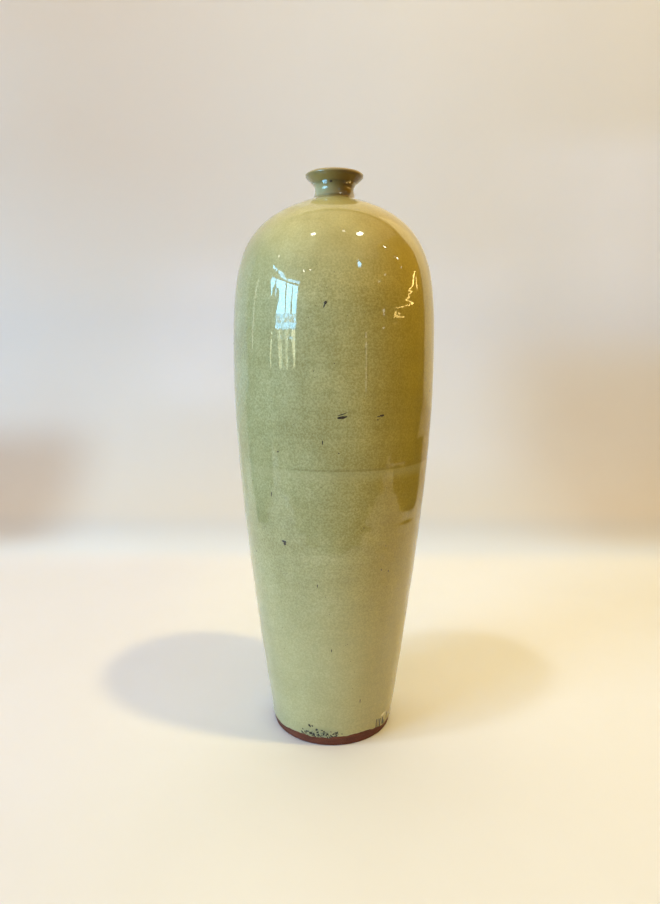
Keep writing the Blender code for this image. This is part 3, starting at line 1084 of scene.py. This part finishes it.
# Soft lights: name, azimuth, elevation, distance, size, power, colour
SOFT_LIGHTS = (
    ("ceiling_right", 62, 67.5, 4.0, 0.20, 56.0, (1.0, 0.75, 0.25)),
    ("ceiling_left", -59, 67.5, 4.0, 0.26, 27.0, (0.79, 0.91, 1.0)),
    ("overhead", 0, 89, 1.8, 1.6, 18.5, (1.0, 0.84, 0.47)),
    ("front_high", 0, 60, 2.4, 1.2, 7.0, (1.0, 0.38, 0.02)),
    ("window_fill", -58, 12, 2.2, 0.8, 33.0, (0.36, 0.66, 1.0)),
)

CEILING_HEIGHT = 6.5  # shares of the vase's height
CEILING_RADIUS = 9.0
CEILING_COLOUR = (0.60, 0.50, 0.36)
CORNER_DROP = 0.01  # metres below the ceiling
ROOM_GLOW = (0.03, 0.026, 0.018)
DAYLIGHT = (0.25, 0.64, 1.0)
AMBER = (1.0, 0.68, 0.22)
CREAM = (1.0, 0.95, 0.80)
STRAW = (1.0, 1.0, 0.62)
# The patches that break a panel's light up: size in millimetres, noise from and to
PATCH_SIZE = 45.0
PATCH_FROM, PATCH_TO = 0.42, 0.56
LINE_BROKEN = 0.25
AZIMUTH_SQUEEZE = 0.12  # the vase mirrors azimuth this much narrower than elevation
LAMP_SIDES = 12

# What the glaze mirrors: corners as (azimuth, elevation), colour, brightness, and the share of it
# that is broken up, if any
PANES = (
    ("strip_left", ((-79.5, 24.8), (-71, 22.9), (-71.5, 21.6), (-78.5, 23.2)), DAYLIGHT, 18.0),
    ("strip_middle", ((-68.5, 22.6), (-55.5, 20.7), (-55.5, 19.2), (-68.5, 21.3)), DAYLIGHT, 16.0),
    ("strip_right", ((-54.9, 21.0), (-40, 19.5), (-40.3, 17.5), (-54.9, 19.0)), DAYLIGHT, 16.0),
    ("pane_left", ((-77.6, 19.6), (-70.8, 19.8), (-71.4, 15.5), (-73.2, 13.6), (-73.8, 12), (-75.2, 12),
                   (-76.8, 15)), DAYLIGHT, 20.0),
    ("pane_scrap", ((-70, 14), (-67.6, 14), (-68.2, 12.1), (-69.4, 12.1)), DAYLIGHT, 13.0),
    ("pane_middle", ((-69.9, 19.6), (-57, 18.2), (-55.9, 5.3), (-67.2, 5.3), (-64, 8.8), (-63.8, 13.4),
                     (-68.6, 14.4)), DAYLIGHT, 24.5),
    ("pane_right", ((-55.2, 17.6), (-48.1, 16.9), (-49.3, 5.3), (-54.6, 5.3)), DAYLIGHT, 24.5),
    ("pane_edge", ((-47.4, 16.8), (-41, 16.2), (-42.4, 5.3), (-47, 5.3)), DAYLIGHT, 24.5),
    ("sill", ((-67.2, 5.3), (-42.4, 5.3), (-42.6, 5.1), (-67.2, 5.1)), AMBER, 5.0, 0.6),
    ("window_low", ((-67.4, 5.05), (-42.4, 5.05), (-42.8, 2.55), (-67.2, 2.55)), DAYLIGHT, 21.0, 0.6),
    ("streak_wide", ((-64.5, 2.5), (-58.4, 2.5), (-58.8, -4.2), (-63.2, -4.2)), STRAW, 6.0, 0.75),
    ("streak_middle", ((-55, 2.5), (-50.8, 2.5), (-51.4, -4.2), (-54.4, -4.2)), STRAW, 6.0, 0.75),
    ("streak_bright", ((-47.4, 2.5), (-42.8, 2.5), (-43, -3.4), (-45, -3.4)), STRAW, 11.0, 0.4),
    ("streak_thin", ((-72.9, 2.0), (-71.3, 2.0), (-73.2, -3.4), (-74.5, -3.4)), STRAW, 8.0, 0.3),
    ("streak_right", ((55.0, 7.9), (56.8, 7.9), (57.0, 5.0), (55.6, 5.0)), CREAM, 8.0, 0.2),
    ("streak_right_foot", ((54.6, 4.0), (56.8, 4.0), (57.0, 3.2), (54.8, 3.2)), CREAM, 6.0),
    ("streak_far_right", ((33.9, 1.8), (35.8, 1.8), (35.6, -7), (34.7, -7)), CREAM, 3.6, 0.6),
    ("streak_left", ((-96.5, 17), (-98, 17), (-103, -2), (-102, -2)), CREAM, 4.5, 0.3),
)

# Thin bright lines that the glaze mirrors: points as (azimuth, elevation), width in degrees, brightness
AMBER_LINES = (
    (((110, 17.2), (105.3, 15.6), (102, 13.8), (93.2, 12), (99, 10.9), (86.8, 10.4), (95, 9.0), (99, 8.2),
      (81, 7.9), (70.5, 7.5)), 0.27, 24.0),
    (((109.5, 14.4), (108.4, 11.2)), 0.20, 14.0),
    (((72.0, 6.9), (70.8, 5.0)), 0.28, 17.0),
    (((75.6, 6.0), (78.0, 5.3)), 0.34, 14.0),
    (((68.5, 4.7), (84, 4.3)), 0.24, 20.0),
)
# Lamps the glaze mirrors: azimuth, elevation, half width, half height, colour, brightness
LAMPS = (
    (54, 61.6, 3.9, 2.4, CREAM, 30.0),
    (-43.5, 62.6, 2.4, 2.6, CREAM, 28.0),
    (24, 69.3, 1.6, 1.3, CREAM, 9.0),
    (74.5, 39.3, 1.0, 1.7, CREAM, 24.0),
    (82.6, 30.2, 0.6, 0.5, CREAM, 14.0),
    (86.2, 28.0, 1.0, 0.9, CREAM, 24.0),
    (86.9, 21.4, 0.7, 0.4, CREAM, 12.0),
    (61.5, 20.2, 0.7, 0.4, CREAM, 10.0),
    (53, 19.0, 0.7, 0.4, CREAM, 10.0),
    (31, 29, 1.9, 1.9, DAYLIGHT, 22.0),
    (30, 32, 0.7, 0.7, DAYLIGHT, 22.0),
    (-74.5, 30.5, 0.9, 0.9, CREAM, 12.0),
    (-36, 23.6, 0.9, 0.6, CREAM, 18.0),
    (-28.5, 24.6, 0.8, 0.6, CREAM, 18.0),
    (-15, 17.0, 0.9, 0.4, CREAM, 15.0),
    (-7, 17.0, 0.7, 0.4, CREAM, 15.0),
)
# Dark things close beside the vase, as the glaze mirrors them: corners as (angle, height)
CARD_RADIUS = 420.0
CARDS = (
    ("shade_low", ((69.6, 86), (72, 54), (83, 36), (84.7, 22), (86.5, 21), (86.5, 93))),
    ("shade_high", ((64, 150), (64, 90), (86.5, 98.5), (86.5, 150))),
    ("shade_far", ((86.5, 150), (86.5, 21), (116.5, 34), (121.5, 59), (121, 150))),
    ("shade_left", ((-68, 215), (-70, 75), (-80, 30), (-90, 14), (-90, 215))),
    ("shade_left_far", ((-90, 215), (-90, 14), (-104, 16), (-109, 60), (-109, 215))),
)
# Lit walls as the glaze mirrors them: ends as (x, y), bottom, top, colours at the bottom and at the top
WALLS = (
    ("wall_right", (0.45, 0.57), (1.02, 0.57), 0.0, 1.30, (0.85, 0.70, 0.42), (2.25, 1.85, 1.00)),
    ("wall_right_far", (0.10, 0.58), (0.45, 0.58), 0.0, 1.30, (0.75, 0.65, 0.45), (1.20, 1.00, 0.65)),
    ("wall_amber_low", (2.2, -0.35), (2.3, 1.30), 0.0, 1.20, (0.15, 0.08, 0.01), (1.00, 0.50, 0.02)),
    ("wall_amber_high", (2.2, -0.35), (2.3, 1.30), 1.20, 2.58, (1.00, 0.50, 0.02), (0.20, 0.13, 0.04)),
    ("wall_amber_low_edge", (2.2, -1.3), (2.2, -0.35), 0.0, 1.20, (0.08, 0.05, 0.01), (0.45, 0.23, 0.02)),
    ("wall_amber_high_edge", (2.2, -1.3), (2.2, -0.35), 1.20, 2.58, (0.45, 0.23, 0.02), (0.12, 0.08, 0.03)),
)
# The corner of wall and ceiling behind the vase: corners as (x, y) on the ceiling
CORNER_LINE = ((-1.6, 0.86), (2.6, 0.99), (2.6, 1.30), (-1.6, 1.17))


def soft_light(name, azimuth, elevation, distance, size, power, colour):
    """A square area light that faces the vase and leaves no reflection."""
    data = bpy.data.lights.new(name, "AREA")
    data.shape = "SQUARE"
    data.size = size
    data.energy = power
    data.color = colour
    light = in_scene(name, data)
    light.location = MIDDLE + direction(azimuth, elevation) * distance
    light.rotation_mode = "QUATERNION"
    light.rotation_quaternion = direction(azimuth, elevation).to_track_quat("Z", "Y")
    light.visible_camera = False
    light.visible_glossy = False


def glow(name, points, colour, strength, broken=0.0, top_colour=None):
    """A flat panel that shows only in reflections.

    Dark patches can break its light up, and its colour can change from its foot to its top.
    """
    g = Graph(name)
    if top_colour:
        heights = [p[2] for p in points]
        colour = g.mix(g.fade(g.height(), min(heights), max(heights)), colour, top_colour)
    if broken:
        patches = g.fade(g.noise(PATCH_SIZE, 3.0), PATCH_FROM, PATCH_TO, broken, 0.0)
        colour = g.mix(patches, colour, BLACK)
    g.set(Base_Color=BLACK, Specular_IOR_Level=0.0, Emission_Color=colour, Emission_Strength=strength)
    panel = new_piece(name, [tuple(p) for p in points], [tuple(range(len(points)))], g.material)
    panel.visible_camera = panel.visible_diffuse = panel.visible_shadow = False


def mirrored(corners):
    """Points of a panel from the directions in which the glaze mirrors them."""
    return [SHINE + direction(azimuth, elevation) * PANEL_DISTANCE for azimuth, elevation in corners]


def build_panes():
    for name, corners, colour, strength, *broken in PANES:
        glow(name, mirrored(corners), colour, strength, *broken)
    for name, corners in CARDS:
        glow(name, [place(CARD_RADIUS, angle, height) for angle, height in corners], BLACK, 0.0)


def build_lines():
    """Jagged bright lines, each stretch a thin panel."""
    for k, (points, width, strength) in enumerate(AMBER_LINES):
        for n, ((a0, e0), (a1, e1)) in enumerate(zip(points, points[1:])):
            run, rise = (a1 - a0) * AZIMUTH_SQUEEZE, e1 - e0
            length = hypot(run, rise)
            side_a, side_e = -rise / length * width / 2 / AZIMUTH_SQUEEZE, run / length * width / 2
            corners = ((a0 + side_a, e0 + side_e), (a1 + side_a, e1 + side_e),
                       (a1 - side_a, e1 - side_e), (a0 - side_a, e0 - side_e))
            glow(f"line_{k}_{n}", mirrored(corners), AMBER, strength, LINE_BROKEN)


def build_lamps():
    for k, (azimuth, elevation, half_width, half_height, colour, strength) in enumerate(LAMPS):
        out = direction(azimuth, elevation)
        side = out.cross(Vector((0, 0, 1))).normalized()
        up = side.cross(out)
        wide, tall = PANEL_DISTANCE * radians(half_width), PANEL_DISTANCE * radians(half_height)
        rim = [SHINE_TOP + out * PANEL_DISTANCE + side * cos(a) * wide + up * sin(a) * tall
               for a in [2 * pi * n / LAMP_SIDES for n in range(LAMP_SIDES)]]
        glow(f"lamp_{k}", rim, colour, strength)


def build_room():
    """The pale ceiling, its corner and the lit walls, seen only in reflections."""
    height = CEILING_HEIGHT * HEIGHT * MM
    reach = CEILING_RADIUS * HEIGHT * MM
    glow("ceiling", level_circle(reach, height), CEILING_COLOUR, 1.0)
    glow("ceiling_corner", [(x, y, height - CORNER_DROP) for x, y in CORNER_LINE], BLACK, 1.0)
    for name, (x0, y0), (x1, y1), low, high, colour, top_colour in WALLS:
        glow(name, [(x0, y0, low), (x1, y1, low), (x1, y1, high), (x0, y0, high)], colour, 1.0,
             top_colour=top_colour)


def build_light():
    world = bpy.data.worlds.new("room")
    world.use_nodes = True
    world.node_tree.nodes["Background"].inputs["Color"].default_value = (*ROOM_GLOW, 1.0)
    bpy.context.scene.world = world
    for each in SOFT_LIGHTS:
        soft_light(*each)
    build_room()
    build_panes()
    build_lines()
    build_lamps()


def main():
    celadon, liner = celadon_glaze(), liner_glaze()
    clay, slip, iron = bare_stoneware(), joint_slip(), iron_speck()
    made = [
        (build_glaze_coat(celadon), "celadon_glaze", "outer_glaze"),
        (build_liner(liner), "liner_glaze", "liner_glaze"),
        (build_lower_clay(clay), "bare_stoneware", "lower_body"),
        (build_upper_clay(clay), "bare_stoneware", "upper_body"),
        (build_neck_clay(clay), "bare_stoneware", "neck"),
        (build_slip("body_slip", body_line, above_seam, below_seam, slip), "joint_slip", "body_joint_slip"),
        (build_slip("neck_slip", neck_line, above_neck, below_neck, slip), "joint_slip", "neck_joint_slip"),
        (build_specks(iron), "celadon_glaze", None),
    ]
    for piece, slot, node in made:
        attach(piece, "root")
        if node:
            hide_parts(node)
    build_camera()
    build_set()
    build_light()
    bpy.context.scene.view_settings.view_transform = "Standard"


main()
